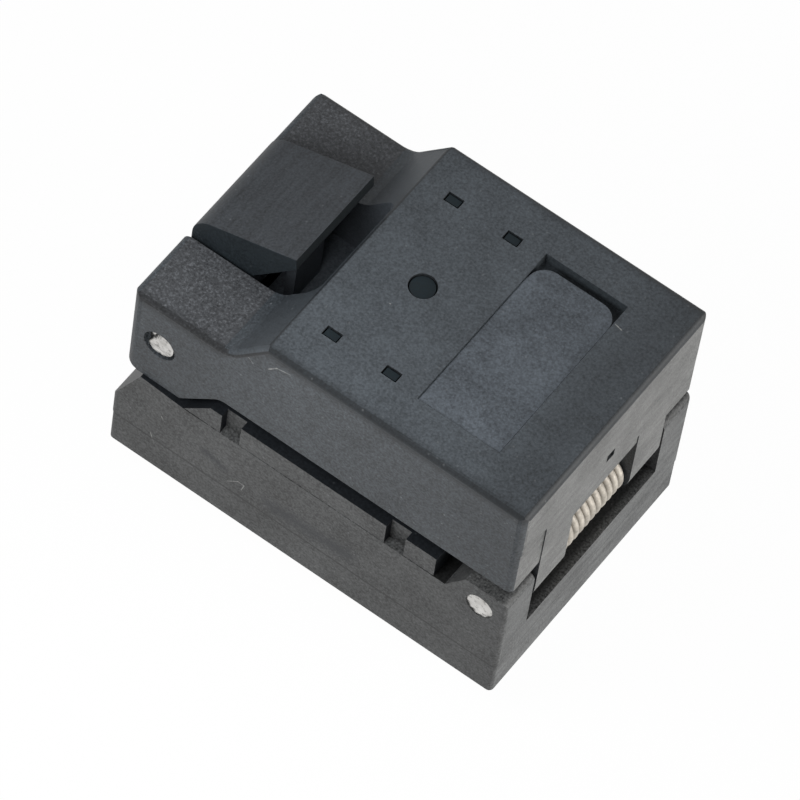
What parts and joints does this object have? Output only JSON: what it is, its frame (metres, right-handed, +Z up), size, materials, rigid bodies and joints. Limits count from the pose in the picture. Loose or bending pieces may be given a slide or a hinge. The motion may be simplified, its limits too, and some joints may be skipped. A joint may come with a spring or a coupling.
{
  "type": "ic test socket",
  "caption": "Clamshell test socket with a sprung hinged lid, lever latch, floating nest, pressure pad and spring contacts for a small leadless chip.",
  "frame": {"origin": "centre of the four board pegs on the seating face that stands on the board", "axes": "+X from the latch end to the hinge end, +Y across the socket, +Z up away from the board; rest is closed and latched"},
  "size_m": [0.0303, 0.0202, 0.0245],
  "materials": {
    "moulded_black": "fine spark-eroded grain, glass-filled moulding",
    "moulded_dark": "smooth matt moulding",
    "gold_contact": "gold-plated copper alloy strip",
    "pin_steel": "ground pin with roughly cut ends",
    "spring_wire": "bright drawn wire",
    "screw_steel": "plain steel"
  },
  "bodies": {
    "base": {"base_housing": "moulded_black", "bottom_plate": "moulded_black", "plate_screws": "screw_steel", "contact_carrier": "moulded_dark", "contact_row_front": "gold_contact", "contact_row_back": "gold_contact", "contact_row_left": "gold_contact", "contact_row_right": "gold_contact", "ground_pin": "gold_contact", "nest_frame": "moulded_black", "nest_springs": "spring_wire", "hinge_pin": "pin_steel", "hinge_spring": "spring_wire"},
    "lid": {"lid": "moulded_black", "latch_pin": "pin_steel", "pad_springs": "spring_wire", "latch_spring": "spring_wire"},
    "latch": {"latch_lever": "moulded_black"},
    "pad": {"pressure_pad": "moulded_dark"},
    "nest": {"device_nest": "moulded_dark"}
  },
  "joints": [
    {"name": "lid_hinge", "type": "hinge", "parent": "base", "child": "lid", "pos_m": [0.01305, 0, 0.00855], "axis": [0, 1, 0], "range_deg": [0, 105]},
    {"name": "latch_pivot", "type": "hinge", "parent": "lid", "child": "latch", "pos_m": [-0.01245, 0, 0.0131], "axis": [0, 1, 0], "range_deg": [0, 12], "stiffness_Nm_per_rad": 0.016, "deforming": ["latch_spring"]},
    {"name": "pad_float", "type": "slide", "parent": "lid", "child": "pad", "axis": [0, 0, 1], "range_m": [0, 0.0005], "stiffness_N_per_m": 2000, "deforming": ["pad_springs"]},
    {"name": "nest_float", "type": "slide", "parent": "base", "child": "nest", "axis": [0, 0, 1], "range_m": [-0.0004, 0], "stiffness_N_per_m": 1200, "deforming": ["nest_springs"]}
  ]
}
